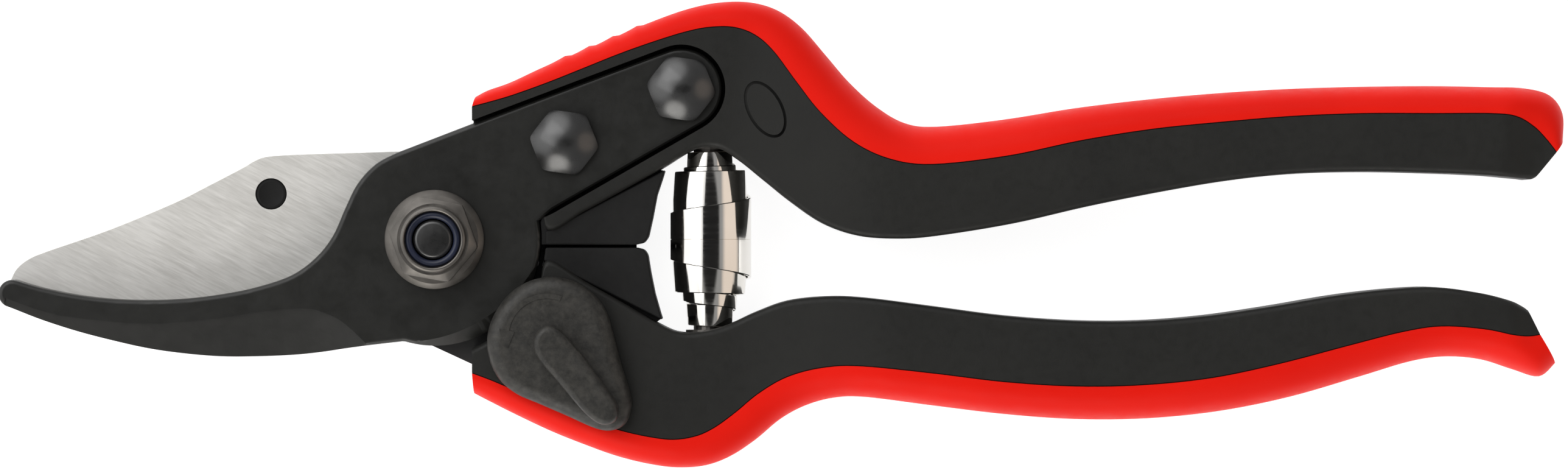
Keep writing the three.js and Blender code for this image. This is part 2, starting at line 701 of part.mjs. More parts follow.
const material = (color, roughness, metalness) =>
  new THREE.MeshStandardMaterial({ color, roughness, metalness });
const blackNylon = material(0x2a2b29, 0.6, 0);
const redRubber = material(0xe8201a, 0.45, 0);
const blackRubber = material(0x1e1f1e, 0.8, 0);
const groundSteel = material(0xc9c7c2, 0.32, 1);
const blackSteel = material(0x26272a, 0.35, 0.6);
const zincSteel = material(0x55504c, 0.3, 0.9);
const chromedSteel = material(0xd8d4cf, 0.12, 1);
const bronze = material(0x9a7442, 0.35, 1);
const blueNylon = material(0x2b3a72, 0.5, 0);

// Assembly

const shears = new THREE.Group();
shears.position.z = restHeight;

function addPiece(name, made, finish) {
  const { vertProperties, triVerts, numVert, numProp } = made.getMesh();
  const positions = new Float32Array(numVert * 3);
  for (let i = 0; i < numVert; i++) {
    positions.set(vertProperties.subarray(i * numProp, i * numProp + 3), i * 3);
  }
  const geometry = new THREE.BufferGeometry();
  geometry.setAttribute("position", new THREE.BufferAttribute(positions, 3));
  geometry.setIndex(new THREE.BufferAttribute(triVerts, 1));
  geometry.computeVertexNormals();
  const mesh = new THREE.Mesh(geometry, finish);
  mesh.name = name;
  shears.add(mesh);
}

const upperSections = handleSections(upperStations);
const lowerSections = handleSections(lowerStations);
const upperGrip = handleSkin(upperSections, gripShape);

addPiece("upper_handle_core", upperCore(upperSections), blackNylon);
addPiece("upper_soft_grip", thumbRibs(upperSections).reduce((a, b) => a.add(b), upperGrip), redRubber);
addPiece("upper_bumper", upperBumper(), blackRubber);
addPiece("counter_blade", counterBlade(), blackSteel);
["front", "rear"].forEach((place, i) => {
  addPiece(`tail_screw_${place}`, screw(tailHeadLevel, -4.4, tailScrews[i]), blackSteel);
  addPiece(`tail_insert_${place}`, insert(-1, tailScrews[i]), bronze);
});
addPiece("upper_spring_seat", springSeat(1), zincSteel);
addPiece("pivot_bolt", pivotBolt(), blackSteel);
addPiece("bolt_washer", ring(boltRadius + 0.2, 7.6, washerBottom, washerTop), zincSteel);
addPiece("pivot_nut", pivotNut(), zincSteel);
addPiece("nut_lock_ring", ring(threadRadius + 0.1, 3.85, collarTop - 1.5, collarTop - 0.3), blueNylon);

addPiece("lower_handle_core", lowerCore(lowerSections), blackNylon);
addPiece("lower_soft_grip", handleSkin(lowerSections, gripShape), redRubber);
addPiece("lower_bumper", lowerBumper(), blackRubber);
addPiece("cutting_blade", cuttingBlade(), groundSteel);
addPiece("blade_bush", ring(boltRadius + 0.15, bushRadius - 0.1, bladeBottom, -shearGap), bronze);
addPiece("blade_plug", bladePlug(), blackRubber);
addPiece("tang_screw", screw(tangHeadLevel, 4.4, tangScrew), blackSteel);
addPiece("tang_insert", insert(1, tangScrew), bronze);
addPiece("lower_spring_seat", springSeat(-1), zincSteel);
addPiece("volute_spring", springHalf(1).add(springHalf(-1)), chromedSteel);

addPiece("catch_stud", screw(tangHeadLevel, leverTop - 1, catchAxis), blackSteel);
addPiece("catch_wave_washer", waveWasher(), chromedSteel);
addPiece("catch_dog", catchDog(), zincSteel);
addPiece("catch_lever", catchLever(), blackNylon);

export default shears;
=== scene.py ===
import json
import math
import bmesh
import bpy
import numpy as np
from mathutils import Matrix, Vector


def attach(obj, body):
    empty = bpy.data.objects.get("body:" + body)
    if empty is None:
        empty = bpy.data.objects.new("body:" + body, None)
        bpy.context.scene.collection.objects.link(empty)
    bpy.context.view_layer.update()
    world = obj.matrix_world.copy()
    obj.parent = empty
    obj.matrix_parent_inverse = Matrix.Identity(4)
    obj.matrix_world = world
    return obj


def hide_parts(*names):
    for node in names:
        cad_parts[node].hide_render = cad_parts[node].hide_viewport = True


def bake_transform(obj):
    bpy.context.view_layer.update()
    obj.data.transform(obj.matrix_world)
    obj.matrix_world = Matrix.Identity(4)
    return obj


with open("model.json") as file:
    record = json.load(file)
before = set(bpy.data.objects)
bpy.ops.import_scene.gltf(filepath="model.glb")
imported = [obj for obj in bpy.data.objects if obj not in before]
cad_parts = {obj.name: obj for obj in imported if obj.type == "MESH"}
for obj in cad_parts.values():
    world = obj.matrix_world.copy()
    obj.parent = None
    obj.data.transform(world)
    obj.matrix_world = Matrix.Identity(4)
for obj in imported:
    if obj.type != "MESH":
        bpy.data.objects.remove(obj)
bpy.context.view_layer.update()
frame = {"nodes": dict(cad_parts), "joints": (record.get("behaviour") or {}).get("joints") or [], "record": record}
mm = 0.001  # outlines are written in millimetres, meshes are in metres
shearPlane = frame["joints"][0]["pos_m"][2] / mm  # heights below are counted from this level
catchAxis = np.array(frame["joints"][1]["pos_m"][:2]) / mm
levels = dict(shearGap=0.1, counterTop=5.1, bladeBottom=-3.1, headHalf=6.0, gripHalf=8.0)
print("frame loaded", len(frame["nodes"]), "nodes")


# curves in plan

def spline(points, perSpan=6, closed=False):
    # Catmull-Rom: each span is a cubic whose end slopes are half the chord between its neighbours
    p = np.asarray(points, float)
    q = np.vstack([p[-1:], p, p[:2]]) if closed else np.vstack([p[:1], p, p[-1:]])
    t = (np.arange(perSpan) / perSpan)[None, :, None]
    a, b, c, d = q[:-3, None], q[1:-2, None], q[2:-1, None], q[3:, None]
    slopeB, slopeC = (c - a) / 2, (d - b) / 2
    cubic = (2 * b - 2 * c + slopeB + slopeC) * t**3 + (3 * c - 3 * b - 2 * slopeB - slopeC) * t**2
    curve = (cubic + slopeB * t + b).reshape(-1, p.shape[1])
    return curve if closed else np.vstack([curve, p[-1:]])


def unit(v):
    return v / np.linalg.norm(v, axis=-1, keepdims=True)


def arc(centre, radius, fromDegrees, toDegrees, steps):
    angle = np.radians(np.linspace(fromDegrees, toDegrees, steps + 1))
    return np.asarray(centre) + radius * np.stack([np.cos(angle), np.sin(angle)], 1)


def oval(centre, halfLong, halfWide, tiltDegrees, steps=72):
    angle = np.linspace(0, 2 * np.pi, steps, endpoint=False)
    tilt = math.radians(tiltDegrees)
    along, across = halfLong * np.cos(angle), halfWide * np.sin(angle)
    turned = np.stack([along * math.cos(tilt) - across * math.sin(tilt),
                       along * math.sin(tilt) + across * math.cos(tilt)], 1)
    return np.asarray(centre) + turned


def anticlockwise(loop):
    x, y = loop[:, 0], loop[:, 1]
    area = np.sum(x * np.roll(y, -1) - np.roll(x, -1) * y)
    return loop if area > 0 else loop[::-1]


def inset(loop, distance):
    # each edge moves inwards by the distance, and a corner by the mitre of its two edges
    ahead = np.roll(loop, -1, axis=0) - loop
    ahead /= np.linalg.norm(ahead, axis=1, keepdims=True)
    inward = np.stack([-ahead[:, 1], ahead[:, 0]], 1)
    before = np.roll(inward, 1, axis=0)
    mitre = (inward + before) / (1 + np.sum(inward * before, axis=1, keepdims=True))
    return loop + mitre * distance


def smoothStep(x, low, high):
    t = np.clip((x - low) / (high - low), 0, 1)
    return t * t * (3 - 2 * t)


# meshes

def tidied(mesh, flatAngle):
    work = bmesh.new()
    work.from_mesh(mesh)
    bmesh.ops.remove_doubles(work, verts=work.verts, dist=0.002 * mm)
    bmesh.ops.recalc_face_normals(work, faces=work.faces)
    work.to_mesh(mesh)
    work.free()
    mesh.shade_smooth()
    mesh.set_sharp_from_angle(angle=math.radians(flatAngle))


def piece(name, points, faces, flatAngle=35):
    mesh = bpy.data.meshes.new(name)
    placed = (np.asarray(points).reshape(-1, 3) + [0, 0, shearPlane]) * mm
    mesh.from_pydata(placed.tolist(), [], faces)
    made = bpy.data.objects.new(name, mesh)
    bpy.context.scene.collection.objects.link(made)
    tidied(mesh, flatAngle)
    return made


def skin(name, grid, capped=True, flatAngle=35):
    # rows of the grid follow one another along the piece, and each row closes round it
    rows, columns, _ = grid.shape
    index = np.arange(rows * columns).reshape(rows, columns)
    around = np.hstack([index, index[:, :1]])
    quads = np.stack([around[:-1, :-1], around[:-1, 1:], around[1:, 1:], around[1:, :-1]], -1)
    faces = quads.reshape(-1, 4).tolist()
    if capped:
        faces += [index[0, ::-1].tolist(), index[-1].tolist()]
    return piece(name, grid, faces, flatAngle)


def plate(name, outline, bottom, top, roundTop=(0, 0), roundBottom=(0, 0), steps=5, flatAngle=35):
    # a stack of the outline: its rims follow a quarter ellipse, as wide and as deep as given
    loop = anticlockwise(np.asarray(outline, float))
    quarter = np.linspace(0, np.pi / 2, steps + 1)
    rows = []
    if max(roundBottom):
        wide, deep = roundBottom
        rows += [(wide * (1 - np.sin(a)), bottom + deep * (1 - np.cos(a))) for a in quarter]
    else:
        rows.append((0, bottom))
    if max(roundTop):
        wide, deep = roundTop
        rows += [(wide * (1 - np.cos(a)), top - deep * (1 - np.sin(a))) for a in quarter]
    else:
        rows.append((0, top))
    grid = np.stack([np.column_stack([inset(loop, d), np.full(len(loop), z)]) for d, z in rows])
    return skin(name, grid, flatAngle=flatAngle)


def turned(name, profile, centre=(0, 0), turn=0, around=96, flatAngle=35):
    # profile rows are (radius, height, hexagon share, largest radius): a share of 1 makes the radius
    # the distance of the six flats, and the last value rounds their corners off
    rows = np.array([tuple(row) + (0, 99)[len(row) - 2:] for row in profile], float)
    angle = np.linspace(0, 2 * np.pi, around, endpoint=False)
    flats = 1 / np.cos((angle - math.radians(turn)) % (np.pi / 3) - np.pi / 6) - 1
    radius = np.minimum(rows[:, :1] * (1 + rows[:, 2:3] * flats), rows[:, 3:])
    x = centre[0] + radius * np.cos(angle)
    y = centre[1] + radius * np.sin(angle)
    z = np.repeat(rows[:, 1:2], around, axis=1)
    return skin(name, np.stack([x, y, z], -1), capped=False, flatAngle=flatAngle)


def ribbonSolid(name, inner, outer, innerLevels, outerLevels):
    # a bar between two curves: a row holds two levels over the inner curve and two over the outer
    corners = [(inner, innerLevels[0]), (outer, outerLevels[0]), (outer, outerLevels[1]),
               (inner, innerLevels[1])]
    columns = [np.column_stack([curve, np.full(len(curve), level)]) for curve, level in corners]
    return skin(name, np.stack(columns, 1))


def bake(made, flatAngle=35):
    graph = bpy.context.evaluated_depsgraph_get()
    graph.update()
    old = made.data
    made.data = bpy.data.meshes.new_from_object(made.evaluated_get(graph), depsgraph=graph)
    made.modifiers.clear()
    made.data.name = made.name
    bpy.data.meshes.remove(old)
    tidied(made.data, flatAngle)


def carve(made, others, how="DIFFERENCE", flatAngle=35):
    for other in others:
        step = made.modifiers.new("carve", "BOOLEAN")
        step.operation = how
        step.object = other
        step.solver = "EXACT"
    bake(made, flatAngle)
    for other in others:
        bpy.data.objects.remove(other)
    return made


def soften(made, width, angle=40, segments=2, flatAngle=35):
    step = made.modifiers.new("soften", "BEVEL")
    step.width = width * mm
    step.segments = segments
    step.limit_method = "ANGLE"
    step.angle_limit = math.radians(angle)
    step.harden_normals = False
    bake(made, flatAngle)
    return made


def fit(made, material, slot, body, *nodes):
    even = made.modifiers.new("even", "WEIGHTED_NORMAL")  # keeps wide flat faces flat in shading
    even.keep_sharp = True
    made.data.materials.clear()
    made.data.materials.append(material)
    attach(made, body)
    if nodes:
        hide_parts(*nodes)
    return made


# finishes

class Finish:
    # a Principled material: plain numbers go on the shader's own sockets, patterns are linked to it
    def __init__(self, name, **values):
        self.material = bpy.data.materials.new(name)
        self.material.use_nodes = True
        self.nodes = self.material.node_tree.nodes
        self.links = self.material.node_tree.links
        self.shader = self.nodes["Principled BSDF"]
        for socket, value in values.items():
            self.shader.inputs[socket.replace("_", " ")].default_value = value

    def node(self, kind, **settings):
        made = self.nodes.new(kind)
        for key, value in settings.items():
            if key in made.inputs:
                made.inputs[key].default_value = value
            else:
                setattr(made, key, value)
        return made

    def noise(self, scale, detail=3.0, stretch=(1, 1, 1), tilt=0.0, roughness=0.55):
        place = self.node("ShaderNodeTexCoord")
        mapping = self.node("ShaderNodeMapping", vector_type="TEXTURE")
        mapping.inputs["Scale"].default_value = stretch
        mapping.inputs["Rotation"].default_value = (0, 0, math.radians(tilt))
        grain = self.node("ShaderNodeTexNoise", Scale=scale, Detail=detail, Roughness=roughness)
        self.links.new(place.outputs["Object"], mapping.inputs["Vector"])
        self.links.new(mapping.outputs["Vector"], grain.inputs["Vector"])
        return grain.outputs["Fac"]

    def ramp(self, source, *stops):
        made = self.node("ShaderNodeValToRGB")
        while len(made.color_ramp.elements) < len(stops):
            made.color_ramp.elements.new(0.5)
        for element, (place, value) in zip(made.color_ramp.elements, stops):
            element.position = place
            element.color = tuple(value) + (1,) if hasattr(value, "__len__") else (value,) * 3 + (1,)
        self.links.new(source, made.inputs["Fac"])
        return made.outputs["Color"]

    def drive(self, socket, source):
        self.links.new(source, self.shader.inputs[socket])

    def bump(self, source, depth, strength=1.0):
        made = self.node("ShaderNodeBump", Strength=strength, Distance=depth * mm)
        self.links.new(source, made.inputs["Height"])
        self.links.new(made.outputs["Normal"], self.shader.inputs["Normal"])
        return made


def mouldedNylon(name="core nylon", dark=(0.0100, 0.0100, 0.0092), light=(0.0135, 0.0135, 0.0122)):
    f = Finish(name, Specular_IOR_Level=0.22)
    f.drive("Base Color", f.ramp(f.noise(60, 4), (0.3, dark), (0.7, light)))
    f.drive("Roughness", f.ramp(f.noise(900, 2), (0.3, 0.46), (0.7, 0.60)))
    f.bump(f.noise(2600, 3), 0.05, 0.35)
    return f.material


def leverNylon():
    # coarser grain and a lighter, browner black than the handles have
    f = Finish("lever nylon", Specular_IOR_Level=0.34)
    f.drive("Base Color", f.ramp(f.noise(900, 5, roughness=0.7), (0.36, (0.015, 0.0145, 0.013)),
                                 (0.66, (0.036, 0.034, 0.030))))
    f.drive("Roughness", f.ramp(f.noise(700, 3), (0.3, 0.42), (0.7, 0.58)))
    f.bump(f.noise(1500, 4), 0.07, 0.5)
    return f.material


def softGrip():
    f = Finish("grip elastomer", Specular_IOR_Level=0.07, Subsurface_Weight=0.04, Subsurface_Scale=0.0012)
    f.shader.inputs["Subsurface Radius"].default_value = (1.0, 0.2, 0.1)
    f.drive("Base Color", f.ramp(f.noise(45, 3), (0.3, (0.65, 0.0078, 0.0032)),
                                 (0.7, (0.71, 0.0102, 0.0044))))
    f.drive("Roughness", f.ramp(f.noise(500, 3), (0.3, 0.44), (0.7, 0.56)))
    f.bump(f.noise(1800, 3), 0.03, 0.25)
    return f.material


def bumperRubber():
    f = Finish("bumper rubber", Specular_IOR_Level=0.15)
    f.drive("Base Color", f.ramp(f.noise(120, 4), (0.3, 0.0085), (0.7, 0.0120)))
    f.drive("Roughness", f.ramp(f.noise(800, 3), (0.3, 0.62), (0.7, 0.78)))
    f.bump(f.noise(3200, 2), 0.04, 0.4)
    return f.material


def groundSteel():
    # ground bright, and dark with no metal past a slanting line that the counter-blade hides
    values = dict(tilt=-27, stretch=(14, 1, 1), darkSlant=(1, -0.6, 0), darkEdge=2.0, darkBlend=0.3,
                  lineShare=0.9, brightMetallic=0.35, darkColour=(0.016, 0.016, 0.016, 1))
    f = Finish("ground steel")
    lines = f.noise(3600, 5, values["stretch"], values["tilt"], 0.65)
    cloud = f.noise(45, 3)
    tone = f.node("ShaderNodeMath", operation="MULTIPLY_ADD")
    tone.inputs[1].default_value = values["lineShare"]
    f.links.new(lines, tone.inputs[0])
    f.links.new(cloud, tone.inputs[2])
    half = f.node("ShaderNodeMath", operation="MULTIPLY")
    half.inputs[1].default_value = 0.5  # lines and cloud together reach past 1, where a ramp stops
    f.links.new(tone.outputs[0], half.inputs[0])
    steel = f.ramp(half.outputs[0], (0.36, (0.52, 0.51, 0.485)), (0.58, (0.71, 0.70, 0.675)))
    place = f.node("ShaderNodeTexCoord")
    across = f.node("ShaderNodeVectorMath", operation="DOT_PRODUCT")
    across.inputs[1].default_value = values["darkSlant"]
    f.links.new(place.outputs["Object"], across.inputs[0])
    edge = f.node("ShaderNodeMapRange")
    edge.inputs["From Min"].default_value = (values["darkEdge"] - values["darkBlend"]) * mm
    edge.inputs["From Max"].default_value = (values["darkEdge"] + values["darkBlend"]) * mm
    f.links.new(across.outputs["Value"], edge.inputs["Value"])
    darkTang = edge.outputs["Result"]  # 1 over the dark tang
    colour = f.node("ShaderNodeMix", data_type="RGBA")
    colour.inputs[7].default_value = values["darkColour"]
    f.links.new(darkTang, colour.inputs[0])
    f.links.new(steel, colour.inputs[6])
    f.drive("Base Color", colour.outputs[2])
    shine = f.node("ShaderNodeMapRange")
    shine.inputs["To Min"].default_value = values["brightMetallic"]
    shine.inputs["To Max"].default_value = 0.0
    f.links.new(darkTang, shine.inputs["Value"])
    f.drive("Metallic", shine.outputs["Result"])
    f.drive("Roughness", f.ramp(lines, (0.3, 0.40), (0.7, 0.52)))
    f.bump(lines, 0.008, 0.3)
    return f.material


def coatedForging():
    f = Finish("coated forging", Specular_IOR_Level=0.4)
    f.drive("Base Color", f.ramp(f.noise(70, 4), (0.3, (0.0095, 0.0095, 0.0086)),
                                 (0.7, (0.0125, 0.0125, 0.0112))))
    f.drive("Roughness", f.ramp(f.noise(420, 4), (0.3, 0.31), (0.7, 0.40)))
    f.bump(f.noise(1100, 4), 0.05, 0.3)
    return f.material


def blackHardware():
    f = Finish("black hardware", Specular_IOR_Level=0.75, Coat_Weight=0.4, Coat_Roughness=0.16)
    f.drive("Base Color", f.ramp(f.noise(150, 3), (0.3, 0.007), (0.7, 0.011)))
    f.drive("Roughness", f.ramp(f.noise(600, 3), (0.3, 0.24), (0.7, 0.34)))
    f.bump(f.noise(900, 2), 0.02, 0.2)
    return f.material


def platedSteel():
    f = Finish("dark zinc plate", Metallic=0.85)
    f.drive("Base Color", f.ramp(f.noise(260, 4), (0.3, (0.098, 0.092, 0.084)),
                                 (0.7, (0.160, 0.149, 0.137))))
    f.drive("Roughness", f.ramp(f.noise(700, 4), (0.3, 0.32), (0.7, 0.48)))
    f.bump(f.noise(1200, 3), 0.03, 0.3)
    return f.material


def springChrome():
    f = Finish("spring chrome", Metallic=1.0)
    lines = f.noise(2400, 3, (10, 1, 10), 0, 0.6)
    f.drive("Base Color", f.ramp(f.noise(90, 3), (0.3, (0.74, 0.717, 0.675)), (0.7, (0.82, 0.80, 0.765))))
    f.drive("Roughness", f.ramp(lines, (0.3, 0.06), (0.7, 0.12)))
    f.bump(lines, 0.004, 0.12)
    return f.material


def lockNylon():
    f = Finish("lock ring nylon", Specular_IOR_Level=0.4)
    f.drive("Base Color", f.ramp(f.noise(300, 3), (0.3, (0.006, 0.009, 0.021)),
                                 (0.7, (0.010, 0.014, 0.034))))
    f.drive("Roughness", f.ramp(f.noise(900, 2), (0.3, 0.30), (0.7, 0.42)))
    return f.material


def turnedBrass():
    f = Finish("turned brass", Metallic=1.0)
    f.drive("Base Color", f.ramp(f.noise(200, 3), (0.3, (0.54, 0.38, 0.17)), (0.7, (0.66, 0.49, 0.24))))
    f.drive("Roughness", f.ramp(f.noise(500, 3), (0.3, 0.26), (0.7, 0.4)))
    return f.material


finishes = dict(core_nylon=mouldedNylon(), grip_elastomer=softGrip(), bumper_rubber=bumperRubber(),
                blade_steel=groundSteel(), coated_steel=coatedForging(), black_hardware=blackHardware(),
                zinc_steel=platedSteel(), spring_chrome=springChrome(), lock_nylon=lockNylon(),
                brass_parts=turnedBrass())
for entry in frame["record"]["subparts"]:  # the CAD pieces that stay get their slot's finish
    node = frame["nodes"][entry["node"]]
    node.data.materials.clear()
    node.data.materials.append(finishes[entry["material_slot"]])
print("finishes made")


# handles: each row is [outer edge of the soft grip], [border], [inner edge of the core]

upperHandle = dict(stations=[
    [[5.7, 20.0], [5.3, 18.6], [5.3, 15.3]], [[7.4, 20.9], [7.6, 19.2], [7.8, 14.0]],
    [[10.5, 22.0], [11.0, 20.2], [11.2, 11.6]], [[15.0, 24.1], [16.0, 22.0], [14.2, 7.4]],
    [[20.0, 26.2], [21.0, 24.0], [15.9, 1.3]], [[25.0, 28.3], [26.0, 26.0], [21.0, 3.9]],
    [[30.0, 30.4], [30.5, 27.6], [26.5, 6.9]], [[35.0, 32.2], [35.0, 29.0], [32.0, 10.0]],
    [[39.5, 33.2], [38.5, 29.7], [36.2, 12.5]], [[44.0, 33.3], [42.0, 29.7], [39.5, 12.85]],
    [[48.0, 32.2], [45.0, 28.6], [42.5, 11.2]], [[51.5, 29.7], [47.6, 26.3], [46.0, 8.4]],
    [[55.0, 25.7], [50.8, 22.0], [50.0, 5.2]], [[58.2, 22.0], [54.2, 17.7], [54.5, 2.2]],
    [[62.0, 18.6], [58.8, 13.6], [59.5, 0.5]], [[66.0, 16.3], [64.0, 11.2], [65.0, 0.1]],
    [[70.5, 15.8], [70.0, 10.5], [70.5, 0.5]], [[80.0, 16.8], [80.5, 11.7], [81.0, 2.2]],
    [[90.0, 18.4], [90.5, 13.8], [91.5, 4.6]], [[100.0, 19.6], [100.5, 15.4], [101.5, 6.6]],
    [[110.0, 20.5], [110.3, 16.4], [111.0, 8.2]], [[120.0, 21.1], [120.0, 17.2], [120.3, 9.2]],
    [[130.0, 21.4], [130.0, 17.6], [130.0, 9.5]], [[140.0, 21.5], [140.0, 17.6], [140.0, 9.3]],
    [[148.0, 21.35], [148.0, 17.6], [147.0, 9.0]], [[153.0, 21.2], [151.5, 17.2], [150.5, 8.7]],
    [[156.7, 20.2], [154.0, 15.8], [152.5, 8.5]], [[158.5, 17.6], [155.8, 14.0], [153.6, 8.4]],
    [[158.4, 13.8], [157.2, 12.2], [154.3, 8.7]],
], ribs=(15.2, 29.2, 3.4), ribStep=0.32)
lowerHandle = dict(stations=[
    [[5.5, -21.6], [5.3, -18.7], [5.3, -15.3]], [[8.0, -22.9], [8.0, -19.7], [8.2, -13.7]],
    [[12.0, -24.9], [12.0, -21.4], [11.6, -11.2]], [[16.5, -27.0], [16.5, -23.3], [14.6, -6.6]],
    [[21.0, -28.8], [21.5, -25.3], [15.9, -2.9]], [[25.5, -30.4], [26.0, -26.7], [21.0, -5.8]],
    [[30.0, -31.5], [30.0, -27.6], [26.5, -8.9]], [[34.0, -32.0], [33.5, -28.0], [31.5, -11.8]],
    [[38.0, -31.7], [36.7, -27.5], [34.5, -13.0]], [[41.5, -30.4], [39.3, -26.3], [38.0, -12.8]],
    [[45.0, -28.1], [42.2, -24.2], [41.5, -11.8]], [[48.5, -25.2], [45.5, -21.5], [45.0, -10.2]],
    [[52.0, -23.3], [49.5, -19.2], [49.5, -8.6]], [[56.0, -22.2], [54.5, -17.9], [55.0, -8.0]],
    [[60.5, -22.1], [60.0, -17.7], [60.5, -8.2]], [[70.0, -23.3], [70.0, -18.7], [70.0, -9.4]],
    [[80.0, -24.5], [80.0, -19.9], [80.0, -10.7]], [[90.0, -25.2], [90.0, -20.5], [90.0, -11.4]],
    [[100.0, -25.1], [99.5, -20.3], [99.0, -11.4]], [[110.0, -24.1], [109.0, -19.3], [108.0, -10.7]],
    [[120.0, -22.1], [118.5, -17.3], [117.0, -9.4]], [[130.0, -19.2], [128.0, -14.8], [126.5, -7.8]],
    [[137.0, -17.1], [135.5, -12.9], [134.5, -6.9]], [[142.0, -16.4], [141.0, -12.1], [140.5, -6.7]],
    [[147.0, -16.8], [147.0, -12.5], [146.5, -7.5]], [[151.5, -18.2], [151.0, -13.3], [150.5, -8.5]],
    [[155.2, -19.2], [153.2, -13.5], [152.3, -9.3]], [[157.4, -17.4], [154.9, -13.3], [153.2, -9.9]],
], ribs=None, ribStep=0)
handleShape = dict(innerRound=0.9, seam=0.07, squareness=2.5, perSpan=6,
                   flange=(-0.07, -0.06, 0.6), flangeDrop=(0, 0.35, 0.4))


def handleCurves(values):
    columns = np.array(values["stations"])
    outer, border, inner = (spline(columns[:, k], handleShape["perSpan"]) for k in range(3))
    x = outer[:, 0]
    half = levels["headHalf"] + (levels["gripHalf"] - levels["headHalf"]) * smoothStep(x, 45, 66)
    return outer, border, inner, half - 1.2 * smoothStep(x, 150, 160)


def coreSkin(name, values):
    # flat faces joined by quarter rounds to an upright inner side, and square at the grip's border
    outer, border, inner, half = handleCurves(values)
    r = handleShape["innerRound"]
    quarter = np.linspace(0, np.pi / 2, 6)
    towards = unit(border - inner)[:, None]
    back = np.concatenate([r * (1 - np.sin(quarter)), r * (1 - np.cos(quarter))])
    drop = np.concatenate([-r * (1 - np.cos(quarter)), r * (1 - np.sin(quarter))])
    inPlan = inner[:, None] + towards * back[None, :, None]
    side = np.repeat([-1.0, 1.0], len(quarter))
    height = np.where(side < 0, -(half[:, None] + drop[None]), half[:, None] - drop[None])
    # outwards of the border: the groove's wall, its floor, and a flange that the grip covers
    across = unit(outer - border)[:, None] * np.array(handleShape["flange"])[None, :, None]
    flangeTop = half[:, None] - np.array(handleShape["flangeDrop"])[None]
    top = np.dstack([border[:, None] + across, flangeTop])
    under = np.dstack([border[:, None] + across, -flangeTop])[:, ::-1]
    return skin(name, np.concatenate([under, np.dstack([inPlan, height]), top], 1))


def gripSkin(name, values):
    # half a superellipse from border to border, flush with the core's faces where it starts
    outer, border, inner, half = handleCurves(values)
    angle = np.linspace(0, np.pi, 33)
    power = 2 / handleShape["squareness"]
    share = np.sin(angle) ** power
    rise = np.sign(np.cos(angle)) * np.abs(np.cos(angle)) ** power
    reach = outer - border
    if values["ribs"]:
        first, last, pitch = values["ribs"]
        phase = (outer[:, 0] - first) / pitch
        inZone = (phase > 0) & (outer[:, 0] < last)
        saw = np.where(inZone, (phase % 1) ** 2, 0)
        reach = reach + unit(reach) * (saw * values["ribStep"])[:, None]
    start = border + unit(border - inner) * handleShape["seam"]
    inPlan = start[:, None] + reach[:, None] * share[None, :, None]
    height = half[:, None] * rise[None]
    return skin(name, np.dstack([inPlan, height[:, :, None]]))


tailEnd = dict(centre=(34.6, 21.1), radius=5.7)
tangEnd = dict(centre=(33.2, -20.4), radius=5.5)
tailScrews = [(18.2, 13.6), (34.6, 21.1)]
tangScrew = (33.2, -20.4)
springX = 38.6
clearRadius = 15.7  # both cores stay outside this circle about the pivot


def springPocket(side):
    # round pocket across the handle, turned about the spring's own axis
    profile = np.array([[0, 7], [4.4, 7], [4.4, 13.4], [1.7, 13.4], [1.7, 15.4], [0, 15.4]])
    angle = np.linspace(0, 2 * np.pi, 48, endpoint=False)
    x = springX + profile[:, :1] * np.cos(angle)
    z = profile[:, :1] * np.sin(angle)
    y = side * np.repeat(profile[:, 1:2], 48, axis=1)
    return skin("pocket", np.stack([x, y, z], -1), capped=False)


def upperCore():
    made = coreSkin("upperCore", upperHandle)
    tail = np.vstack([[(2, 14.9)], arc(tailEnd["centre"], tailEnd["radius"], 112, -61, 24),
                      [(16.6, 4.2), (8, 0)]])
    pocket = plate("pocket", inset(anticlockwise(tail), -0.5), -0.2, 9)
    mould = turned("mould", [(0, -20), (clearRadius, -20), (clearRadius, 20), (0, 20)], around=180)
    badge = dict(centre=(46.4, 18.2), halfLong=4.3, halfWide=2.5, tiltDegrees=-62)
    groove = plate("groove", oval(**badge), 5.88, 9)
    kept = plate("kept", oval(badge["centre"], 3.9, 2.1, badge["tiltDegrees"]), 5, 10)
    carve(groove, [kept])
    bores = [turned("bore", [(0, -5), (3.65, -5), (3.65, 1), (0, 1)], at) for at in tailScrews]
    carve(made, [pocket, mould, springPocket(1), groove] + bores)
    fit(made, finishes["core_nylon"], "core_nylon", "upper_handle", "upper_handle_core")


def lowerCore():
    made = coreSkin("lowerCore", lowerHandle)
    tang = np.vstack([[(8, 0), (16.4, -4.3)], arc(tangEnd["centre"], tangEnd["radius"], 58, -110, 24),
                      [(5.2, -17.6), (-1.5, -14.5)]])
    pocket = plate("pocket", inset(anticlockwise(tang), -0.4), -9, 0.2)
    mould = turned("mould", [(0, -20), (clearRadius, -20), (clearRadius, 20), (0, 20)], around=180)
    bores = [turned("bore", [(0, -1), (3.65, -1), (3.65, 5), (0, 5)], tangScrew),
             turned("bore", [(0, -1), (2.6, -1), (2.6, 9), (0, 9)], catchAxis),
             turned("bore", [(0, 1.2), (6.3, 1.2), (6.3, 9), (0, 9)], catchAxis)]
    carve(made, [pocket, mould, springPocket(-1)] + bores)
    fit(made, finishes["core_nylon"], "core_nylon", "lower_handle", "lower_handle_core")


def softGrips():
    for name, values, body, node in (("upperGrip", upperHandle, "upper_handle", "upper_soft_grip"),
                                     ("lowerGrip", lowerHandle, "lower_handle", "lower_soft_grip")):
        fit(gripSkin(name, values), finishes["grip_elastomer"], "grip_elastomer", body, node)


upperCore()
lowerCore()
softGrips()
print("handles made")


# cutting parts

